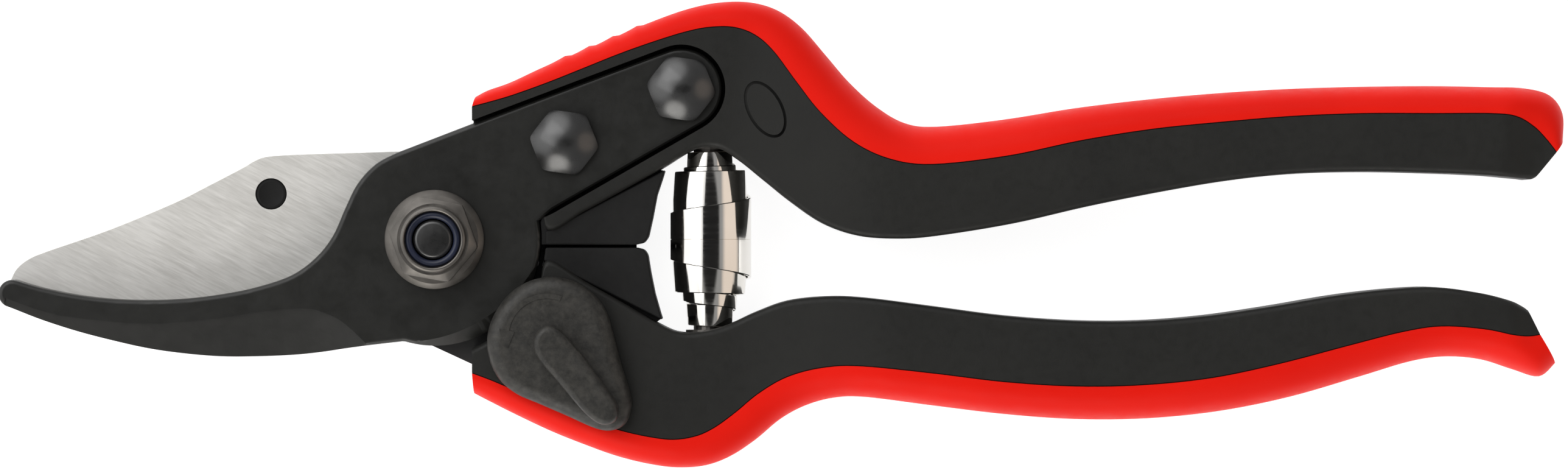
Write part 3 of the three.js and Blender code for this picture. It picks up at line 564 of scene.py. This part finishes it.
counterBlade = dict(
    edge=[(-58.6, -5.75), (-55, -6.8), (-50, -7.8), (-45, -8.35), (-40, -8.5), (-35, -8.3), (-30, -7.7),
          (-25, -6.7), (-20, -5.0), (-16.5, -2.4), (-14.2, 0.6), (-12.6, 4.2), (-10.8, 7.8),
          (-8.2, 10.6), (-5.2, 12.2)],
    back=[(-4.5, -14.3), (-8, -14.7), (-12, -15.2), (-16, -15.8), (-20, -16.2), (-25, -16.4),
          (-30, -16.4), (-35, -16.0), (-40, -15.3), (-45, -14.2), (-50, -12.9), (-55, -11.3),
          (-59.0, -9.75)], tip=dict(centre=(-59.25, -7.6), radius=1.95),
    facet=[(-60.2, -8.2), (-55, -10.0), (-50, -11.0), (-40, -11.8), (-30, -11.0), (-25, -10.2),
           (-20, -9.7), (-17, -9.8), (-14, -10.9), (-12, -12.3), (-9.6, -14.6), (-7.2, -17.4)],
    facetStep=0.25, facetDrop=1.9, heelRadius=14.9, heelRim=1.9, heelDrop=1.75, heelFrom=-106, heelTo=-10)


def makeCounterBlade():
    v = counterBlade
    top = levels["counterTop"]
    outline = np.vstack([spline(v["edge"], 5), [(5.2, 16.2)],
                         arc(tailEnd["centre"], tailEnd["radius"], 112, -61, 32), [(16.6, 4.2)],
                         arc((0, 0), v["heelRadius"], 10, v["heelFrom"], 60), spline(v["back"], 5),
                         arc(v["tip"]["centre"], v["tip"]["radius"], 240, 85, 16)])
    made = plate("counterBlade", outline, levels["shearGap"], top, roundTop=(0.7, 0.6), steps=3)
    facet = spline(v["facet"], 5)
    beyond = facet + unit(np.column_stack([facet[:, 0] * 0 - 0.15, facet[:, 1] * 0 - 1])) * 7.0
    slope = ribbonSolid("slope", facet, beyond, (top - v["facetStep"], top + 3),
                        (top - v["facetDrop"], top + 3))
    outside = arc((0, 0), v["heelRadius"] + 1, v["heelFrom"], v["heelTo"], 60)
    width = 0.9 + v["heelRim"] * np.sin(np.linspace(0, np.pi, 61))[:, None] ** 0.8
    rim = outside - unit(outside) * width
    heel = ribbonSolid("heel", rim, outside, (top, top + 3), (top - v["heelDrop"], top + 3))
    holes = [turned("hole", [(0, -1), (2.6, -1), (2.6, 9), (0, 9)], at) for at in tailScrews]
    holes.append(turned("hole", [(0, -1), (4.05, -1), (4.05, 9), (0, 9)]))
    carve(made, [slope, heel] + holes, flatAngle=18)
    soften(made, 0.1, angle=16, segments=2, flatAngle=19)
    fit(made, finishes["coated_steel"], "coated_steel", "upper_handle", "counter_blade")


cuttingBlade = dict(
    back=[(-59.9, -5.8), (-59.0, -4.1), (-57.2, -2.7), (-54.5, -1.6), (-46.1, 1.3), (-36.9, 5.1),
          (-32.3, 7.4), (-27.3, 10.0), (-25.6, 11.0), (-23.7, 11.65), (-19.3, 11.95)],
    edge=[(-6, -13.4), (-10, -12.2), (-15, -10.6), (-20, -9.6), (-25, -9.5), (-30, -9.8), (-35, -10.2),
          (-40, -10.3), (-45, -10.1), (-50, -9.4), (-55, -8.1)],
    grind=[(-2, -9.0), (-8, -5.6), (-15, -3.8), (-25, -3.0), (-35, -3.4), (-45, -3.9), (-53, -4.4),
           (-62, -4.2)],
    shoulderRadius=13.2, heelRadius=15.45, plug=(-23.2, 6.4), plugRadius=2.1)


def makeCuttingBlade():
    v = cuttingBlade
    bottom = levels["bladeBottom"]
    outline = np.vstack([spline(v["back"], 5), arc((0, 0), v["shoulderRadius"], 110, 54, 30),
                         arc((0, 0), v["heelRadius"], 46, -14, 28), [(16.4, -4.3)],
                         arc(tangEnd["centre"], tangEnd["radius"], 58, -110, 32),
                         [(5.2, -17.6), (-1.5, -14.5)], spline(v["edge"], 5)])
    made = plate("cuttingBlade", outline, bottom, -levels["shearGap"], roundBottom=(0.35, 0.35), steps=1)
    grind = spline(v["grind"], 5)
    beyond = grind + np.array([0, -11.0])
    bevel = ribbonSolid("bevel", grind, beyond, (bottom - 3, bottom), (bottom - 3, bottom + 4.1))
    holes = [turned("hole", [(0, -9), (r, -9), (r, 1), (0, 1)], at) for r, at in
             ((5.7, (0, 0)), (v["plugRadius"] + 0.1, v["plug"]), (2.6, tangScrew), (2.6, catchAxis))]
    carve(made, [bevel] + holes, flatAngle=12)
    soften(made, 0.08, angle=30, segments=2, flatAngle=25)
    fit(made, finishes["blade_steel"], "blade_steel", "lower_handle", "cutting_blade")
    r = v["plugRadius"]
    plug = [(0, bottom - 1), (1.7, bottom - 1), (2.2, bottom - 0.85), (2.7, bottom - 0.3),
            (2.7, bottom - 0.2), (r, bottom - 0.2), (r, -0.35), (r - 0.12, -0.2), (r - 0.35, -0.15),
            (r - 0.5, -0.22), (0, -0.22)]
    fit(turned("bladePlug", plug, v["plug"]), finishes["bumper_rubber"], "bumper_rubber", "lower_handle",
        "blade_plug")


makeCounterBlade()
makeCuttingBlade()
print("cutting parts made")


# bumpers

bumpers = dict(
    upper=[(28.2, -0.75), (29.4, -0.5), (30.0, 0.3), (30.6, 3.0), (31.2, 6.2), (32.0, 8.6), (32.35, 9.75)],
    lower=[(32.0, -11.3), (31.7, -10.4), (30.9, -7.6), (30.3, -4.6), (29.9, -2.1), (29.4, -1.4),
           (28.4, -1.15)],
    nearRadius=15.6, upperArc=(-2.75, 4.0), lowerArc=(-10.9, -4.2), top=5.2, lipTop=-4.4,
    # painted shade: dark rubber filling under the grooves that part the bumpers from the cores, standing in for
    # the shadow deep in them
    upperShadeFill=[(16.2, 0.2), (31.2, 8.2), (32.0, 9.7), (31.3, 9.8), (15.75, 1.4)],
    lowerShadeFill=[(16.2, -2.2), (15.6, -3.3), (31.2, -11.55), (31.7, -11.2), (31.2, -10.2)], shadeFillTop=3.6,
    # painted shade: the tongue and lip are dark rubber filling the deep slot between the heel and the bumpers,
    # standing in for its shadow
    tongue=[(15.02, -0.7), (17, -0.7), (17, 0.9), (16.3, 1.6), (15.9, 2.9), (15.5, 3.35), (15.1, 3.1),
            (14.9, 2.35), (15.02, 1.0)],
    lip=[(14.4, -3.9), (15.9, -3.9), (16.6, -2.6), (28.2, -1.6), (28.2, -0.45), (14.6, -0.45)])


def makeBumpers():
    v = bumpers
    near = {side: arc((0, 0), v["nearRadius"], *v[side + "Arc"][::-1], 6) for side in ("upper", "lower")}
    upper = plate("upperBumper", np.vstack([v["upper"], near["upper"]]), v["lipTop"] + 0.2, v["top"])
    lower = plate("lowerBumper", np.vstack([v["lower"], near["lower"]]), -v["top"], v["top"])
    for made, shadeFiller, low, high, side in ((upper, v["tongue"], 0.3, 4.5, "upper"),
                                         (lower, v["lip"], -v["top"], v["lipTop"], "lower")):
        soften(made, 0.3, angle=20, segments=3)
        # painted shade: the root, tongue and lip fillers are dark rubber standing in for the shadow in the gaps
        shadeFill = plate("shadeFill", v[side + "ShadeFill"], -3.9, v["shadeFillTop"])
        carve(made, [plate("shadeFiller", shadeFiller, low, high), shadeFill], "UNION")
        fit(made, finishes["bumper_rubber"], "bumper_rubber", side + "_handle", side + "_bumper")


# fasteners

pivotStack = dict(nutBottom=5.3, flange=6.95, flangeTop=6.5, hexTop=10.9, collarTop=12.0, hexTurn=-10,
                  across=5.5, corner=6.25, crown=5.0, crownSlope=0.62, boltEnd=2.85, boltSeat=-4.5,
                  pitch=0.5, threadStart=5.2, threadDepth=0.25, headFlat=6.2)


def bluntHexagon(angle, flat, corner, turn):
    # distance to six flats, smoothly held under the distance of the corners
    flats = flat / np.cos((angle - math.radians(turn)) % (np.pi / 3) - np.pi / 6)
    return (flats**-40.0 + (corner * 1.01) ** -40.0) ** (-1 / 40)


def makePivot():
    v = pivotStack
    base, flangeTop, hexTop, top = v["nutBottom"], v["flangeTop"], v["hexTop"], v["collarTop"]
    wide, crown = v["flange"], v["crown"]
    flange = [(3.0, base), (wide - 0.25, base), (wide, base + 0.2), (wide, base + 0.45),
              (wide - 0.15, base + 0.65), (6.2, flangeTop - 0.05), (5.4, flangeTop + 0.1),
              (3.0, flangeTop + 0.1), (3.0, base)]
    # the prism's rim lies on a cone, so the height of each corner falls with its distance outwards
    angle = np.linspace(0, 2 * np.pi, 180, endpoint=False)
    hexagon = bluntHexagon(angle, v["across"], v["corner"], v["hexTurn"])
    flat = np.zeros_like(angle)
    rim = hexTop - (hexagon - crown) * v["crownSlope"]
    radius = np.stack([hexagon, hexagon, hexagon - 0.12, flat + crown, flat + 3.2])
    level = np.stack([flat + base + 0.3, rim - 0.14, rim + 0.02, flat + hexTop, flat + hexTop])
    prism = skin("prism", np.stack([radius * np.cos(angle), radius * np.sin(angle), level], -1))
    collar = [(3.4, hexTop - 0.6), (4.72, hexTop - 0.6), (4.72, hexTop + 0.1), (4.62, top - 0.45),
              (4.5, top - 0.18), (4.3, top - 0.03), (4.15, top), (4.02, top - 0.08), (3.95, top - 0.3),
              (3.95, top - 1.7), (3.4, top - 1.7), (3.4, hexTop - 0.6)]
    nut = turned("pivotNut", flange, around=180)
    carve(nut, [prism, turned("collar", collar, around=180)], "UNION", flatAngle=24)
    carve(nut, [turned("bore", [(0, 0), (3.3, 0), (3.3, 30), (0, 30)])], flatAngle=24)
    fit(nut, finishes["zinc_steel"], "zinc_steel", "upper_handle", "pivot_nut")
    lock = [(2.9, top - 1.5), (3.85, top - 1.5), (3.85, top - 0.75), (3.72, top - 0.55),
            (3.5, top - 0.45), (3.2, top - 0.5), (3.0, top - 0.68), (2.9, top - 0.9), (2.9, top - 1.5)]
    fit(turned("nutLockRing", lock), finishes["lock_nylon"], "lock_nylon", "upper_handle",
        "nut_lock_ring")
    head, seat, end, start = -shearPlane, v["boltSeat"], v["boltEnd"], v["threadStart"]
    count = int((top - 1.3 - start) / v["pitch"] * 2) + 1
    # the thread is a row of crests and roots, half a pitch apart
    thread = [(end - 0.05 - v["threadDepth"] * (k % 2), start + k * v["pitch"] / 2) for k in range(count)]
    bolt = [(0, head), (5.5, head), (5.8, head + 0.12), (6.85, head + 1.05), (7, head + 1.35),
            (7, seat - 0.15), (6.85, seat), (3.9, seat), (3.9, 4.7), (3.7, 4.9), (end - 0.1, 4.9)] + thread
    bolt += [(end - 0.15, top - 1.2), (end - 0.45, top - 0.95), (end - 0.7, top - 0.9), (0, top - 0.94)]
    made = turned("pivotBolt", bolt, around=180)
    near, far = v["headFlat"], 12
    sides = [plate("flat", [(-9, s * near), (9, s * near), (9, s * far), (-9, s * far)], head - 1, -4.2)
             for s in (-1, 1)]
    carve(made, sides)
    fit(made, finishes["black_hardware"], "black_hardware", "upper_handle", "pivot_bolt")
    washer = [(4.1, -4.3), (7.45, -4.3), (7.6, -4.15), (7.6, -3.45), (7.45, -3.3), (4.1, -3.3),
              (4.1, -4.3)]
    fit(turned("boltWasher", washer), finishes["zinc_steel"], "zinc_steel", "upper_handle",
        "bolt_washer")


screwShape = dict(flat=4.3, corner=4.78, skirt=0.45, rise=2.75, shank=2.4, turn=-8, falloff=2.2,
                  edge=0.12, underside=0.97)


def domedScrew(name, at, seat, tip, node, body):
    # a rounded hexagon: above its skirt, height falls from the middle as 1 - (r / corner) ** falloff,
    # with r the true distance from the axis, so the six sides cut the dome in arches
    v = screwShape
    up = 1 if seat > 0 else -1
    angle = np.linspace(0, 2 * np.pi, 120, endpoint=False)
    blunt = bluntHexagon(angle, v["flat"], v["corner"], v["turn"])
    share = np.sin(np.linspace(np.pi / 2, 0, 19))[:, None]
    radius = blunt * share
    height = v["skirt"] + (v["rise"] - v["skirt"]) * (1 - (radius / v["corner"]) ** v["falloff"])
    rim = np.stack([blunt * v["underside"], blunt])
    shank = np.repeat([[0.0], [v["shank"]], [v["shank"]]], len(angle), 1)
    low = np.repeat([[0.0], [v["edge"]]], len(angle), 1)
    r = np.vstack([shank, rim, radius])
    stem = np.repeat([[tip], [tip], [seat]], len(angle), 1)
    level = np.vstack([stem, seat + up * low, seat + up * height])
    grid = np.stack([at[0] + r * np.cos(angle), at[1] + r * np.sin(angle), level], -1)
    made = skin(name, grid, capped=False, flatAngle=38)
    fit(made, finishes["black_hardware"], "black_hardware", body, node)


def makeScrews():
    domedScrew("tailScrewFront", tailScrews[0], 5.25, -4.4, "tail_screw_front", "upper_handle")
    domedScrew("tailScrewRear", tailScrews[1], 5.25, -4.4, "tail_screw_rear", "upper_handle")
    domedScrew("tangScrew", tangScrew, -3.25, 4.4, "tang_screw", "lower_handle")
    domedScrew("catchStud", catchAxis, -3.25, 8.3, "catch_stud", "lower_handle")


# spring: one forked strip rolled up as two volutes, mirror images about its middle

spring = dict(strip=0.45, perTurn=96, bendIn=0.3, turns=(0, 0.45, 0.95, 1.45, 1.95, 2.45, 2.95, 3.5),
              radius=(5.6, 5.58, 5.06, 5.02, 3.75, 3.58, 3.15, 3.05),
              inner=(0, 0, 1.5, 2.5, 7, 8, 9, 9.5),
              outer={1: (3.8, 6, 9.5, 9.75, 10.1, 10.5, 12.2, 12.5),
                     -1: (2.9, 5.4, 7.4, 7.7, 8.6, 9.9, 12.0, 12.5)})


def springHalf(side):
    v = spring
    turn = np.linspace(0, v["turns"][-1], int(v["turns"][-1] * v["perTurn"]) + 1)
    angle = np.pi * (1.1 + 2 * turn)
    radius, outer, inner = (np.interp(turn, v["turns"], row) for row in
                            (v["radius"], v["outer"][side], v["inner"]))
    inner = inner - 0.05  # the two arms are one strip up to the fork
    bent = np.interp(turn, (0.45, 0.9), (0, v["bendIn"]))  # later turns lean in beyond the bend
    middle = np.clip(outer - 4, inner + 0.2, outer - 0.2)
    lean = bent * (outer - middle) / 4
    half, edge, none = v["strip"] / 2, 0.1, 0 * turn
    corners = [(-half, none, inner, edge), (-half + edge, none, inner, 0), (half - edge, none, inner, 0),
               (half, none, inner, edge), (half, none, middle, 0), (half, lean, outer, -edge),
               (half - edge, lean, outer, 0), (-half + edge, lean, outer, 0), (-half, lean, outer, -edge),
               (-half, none, middle, 0)]
    columns = [np.stack([springX + (radius + off - shift) * np.cos(angle), side * (level + ease),
                         -(radius + off - shift) * np.sin(angle)], -1)
               for off, shift, level, ease in corners]
    return skin("springHalf", np.stack(columns, 1), flatAngle=25)


def makeSpring():
    made = springHalf(1)
    made.name = "voluteSpring"
    carve(made, [springHalf(-1)], "UNION", flatAngle=25)
    made.data.materials.clear()
    made.data.materials.append(finishes["spring_chrome"])
    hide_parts("volute_spring")
    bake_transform(made)


# catch

catch = dict(
    outline=[(23.9, -9.6), (25.2, -13.5), (26.2, -17.3), (27.3, -20.8), (27.7, -23.2), (26.9, -25.7),
             (25.0, -26.7), (22.6, -26.4), (18.5, -24.6), (14.8, -23.0), (11.6, -21.6), (9.2, -19.6),
             (7.8, -16.8), (7.5, -13.6), (8.5, -10.4), (10.8, -7.4), (14.0, -5.6), (17.6, -5.3),
             (21.2, -6.7)],
    ridge=[(17.4, -12.4), (20.4, -15.6), (23.4, -19.6), (25.7, -23.0), (25.6, -25.2), (23.6, -25.8),
           (21.2, -24.2), (17.6, -20.0), (14.7, -16.6), (14.0, -14.1), (15.3, -12.2)],
    bottom=6.3, top=9.3, ridgeTop=11.6, arrowRadius=5.7, arrowWidth=0.7, arrowRise=0.11,
    arrowFrom=70, arrowTo=172, headFrom=171, headTo=196, headHalf=1.1)


def makeCatch():
    v = catch
    made = plate("catchLever", spline(v["outline"], 6, closed=True), v["bottom"], v["top"],
                 roundTop=(2.0, 1.9), steps=7)
    ridge = plate("ridge", spline(v["ridge"], 6, closed=True), v["top"] - 1.5, v["ridgeTop"],
                  roundTop=(0.9, 1.1), steps=6)
    hub = turned("hub", [(0, 5.2), (4.7, 5.2), (4.7, 6.8), (0, 6.8)], catchAxis)
    radius, low, high = v["arrowRadius"], v["top"] - 0.5, v["top"] + v["arrowRise"]
    near, far = (arc(catchAxis, radius + side * v["arrowWidth"] / 2, v["arrowFrom"], v["arrowTo"], 24)
                 for side in (-1, 1))
    band = ribbonSolid("band", near, far, (low, high), (low, high))
    tip = [catchAxis + r * np.array([math.cos(math.radians(a)), math.sin(math.radians(a))])
           for r, a in ((radius, v["headTo"]), (radius + v["headHalf"], v["headFrom"]),
                        (radius - v["headHalf"], v["headFrom"]))]
    head = plate("head", np.array(tip), low, high)
    carve(made, [ridge, hub, band, head], "UNION", flatAngle=30)
    bore = turned("bore", [(0, 0), (2.65, 0), (2.65, 8.7), (0, 8.7)], catchAxis)
    carve(made, [bore], flatAngle=30)
    fit(made, leverNylon(), "core_nylon", "catch", "catch_lever")


makeBumpers()
makePivot()
makeScrews()
makeSpring()
makeCatch()
print("bumpers, fasteners, spring and catch made")


# floor, light and camera

studio = dict(
    floorSize=6, floorLevel=-0.0003, floorGlow=0.88, floorShade=(0.47, 0.49),
    width=0.22077, middle=(0.04902, 0.00069), lens=200, sensor=36, farthest=10,
    # the sky is dark overhead, in an oval: hole is the sine of its half angle in x and in y
    sky=dict(base=0.42, overhead=0.02, hole=(0.46, 0.19), soft=(0.86, 1.12), strength=0.8),
    # soft boxes: direction, cosines where each starts and is full, and brightness
    boxes=[((-0.30, 0.76, 0.55), (0.78, 0.97), (2.1, 2.1, 2.1)),
           ((-0.25, -0.85, 0.45), (0.86, 0.97), (4.4, 4.3, 4.1)),
           ((-0.85, 0.05, 0.52), (0.76, 0.96), (1.3, 1.3, 1.3)),
           ((0.88, 0.0, 0.47), (0.88, 0.97), (0.75, 0.6, 0.48))],
    # lamp: name, place, size and power, all aimed at one point
    lights=[("keyLeft", (-0.45, 0.35, 0.65), 0.9, 2.5)], aim=(0.04, 0, 0))


def makeSky(v):
    # dim all round and dark straight overhead, plus a soft box in each listed direction
    world = bpy.data.worlds.new("studio")
    world.use_nodes = True
    nodes, links = world.node_tree.nodes, world.node_tree.links

    def mapped(source, start, end, low, high):
        made = nodes.new("ShaderNodeMapRange")
        made.interpolation_type = "SMOOTHSTEP"
        for socket, value in (("From Min", start), ("From Max", end), ("To Min", low), ("To Max", high)):
            made.inputs[socket].default_value = value
        links.new(source, made.inputs["Value"])
        return made.outputs["Result"]

    sky = v["sky"]
    place = nodes.new("ShaderNodeTexCoord")
    spreadOut = nodes.new("ShaderNodeVectorMath")
    spreadOut.operation = "MULTIPLY"
    spreadOut.inputs[1].default_value = (1 / sky["hole"][0], 1 / sky["hole"][1], 0)
    links.new(place.outputs["Generated"], spreadOut.inputs[0])
    reach = nodes.new("ShaderNodeVectorMath")
    reach.operation = "LENGTH"
    links.new(spreadOut.outputs["Vector"], reach.inputs[0])
    total = mapped(reach.outputs["Value"], *sky["soft"], sky["overhead"], sky["base"])
    for direction, spread, brightness in v["boxes"]:
        towards = nodes.new("ShaderNodeVectorMath")
        towards.operation = "DOT_PRODUCT"
        towards.inputs[1].default_value = unit(np.array(direction)).tolist()
        links.new(place.outputs["Generated"], towards.inputs[0])
        added = nodes.new("ShaderNodeVectorMath")
        added.operation = "MULTIPLY_ADD"
        links.new(mapped(towards.outputs["Value"], *spread, 0, 1), added.inputs[0])
        added.inputs[1].default_value = brightness
        links.new(total, added.inputs[2])
        total = added.outputs["Vector"]
    links.new(total, nodes["Background"].inputs["Color"])
    nodes["Background"].inputs["Strength"].default_value = sky["strength"]
    bpy.context.scene.world = world


def makeStudio():
    v = studio
    bpy.ops.mesh.primitive_plane_add(size=v["floorSize"], location=(0, 0, v["floorLevel"]))
    floor = bpy.context.object
    floor.name = "floor"
    f = Finish("pale floor", Roughness=0.9, Specular_IOR_Level=0.1, Emission_Strength=v["floorGlow"],
               Emission_Color=(1, 1, 1, 1))
    f.drive("Base Color", f.ramp(f.noise(3, 2), (0.3, v["floorShade"][0]), (0.7, v["floorShade"][1])))
    floor.data.materials.append(f.material)
    makeSky(v)
    for name, at, size, power in v["lights"]:
        lamp = bpy.data.lights.new(name, "AREA")
        lamp.size = size
        lamp.energy = power
        made = bpy.data.objects.new(name, lamp)
        made.location = at
        made.rotation_euler = (Vector(v["aim"]) - Vector(at)).to_track_quat("-Z", "Y").to_euler()
        bpy.context.scene.collection.objects.link(made)
    eye = bpy.data.cameras.new("camera")
    eye.lens = v["lens"]
    eye.sensor_width = v["sensor"]
    eye.clip_end = v["farthest"]
    made = bpy.data.objects.new("camera", eye)
    made.location = (v["middle"][0], v["middle"][1], shearPlane * mm + v["width"] * v["lens"] / v["sensor"])
    bpy.context.scene.collection.objects.link(made)
    bpy.context.scene.camera = made
    bpy.context.scene.view_settings.view_transform = "Standard"


makeStudio()
print("studio made")
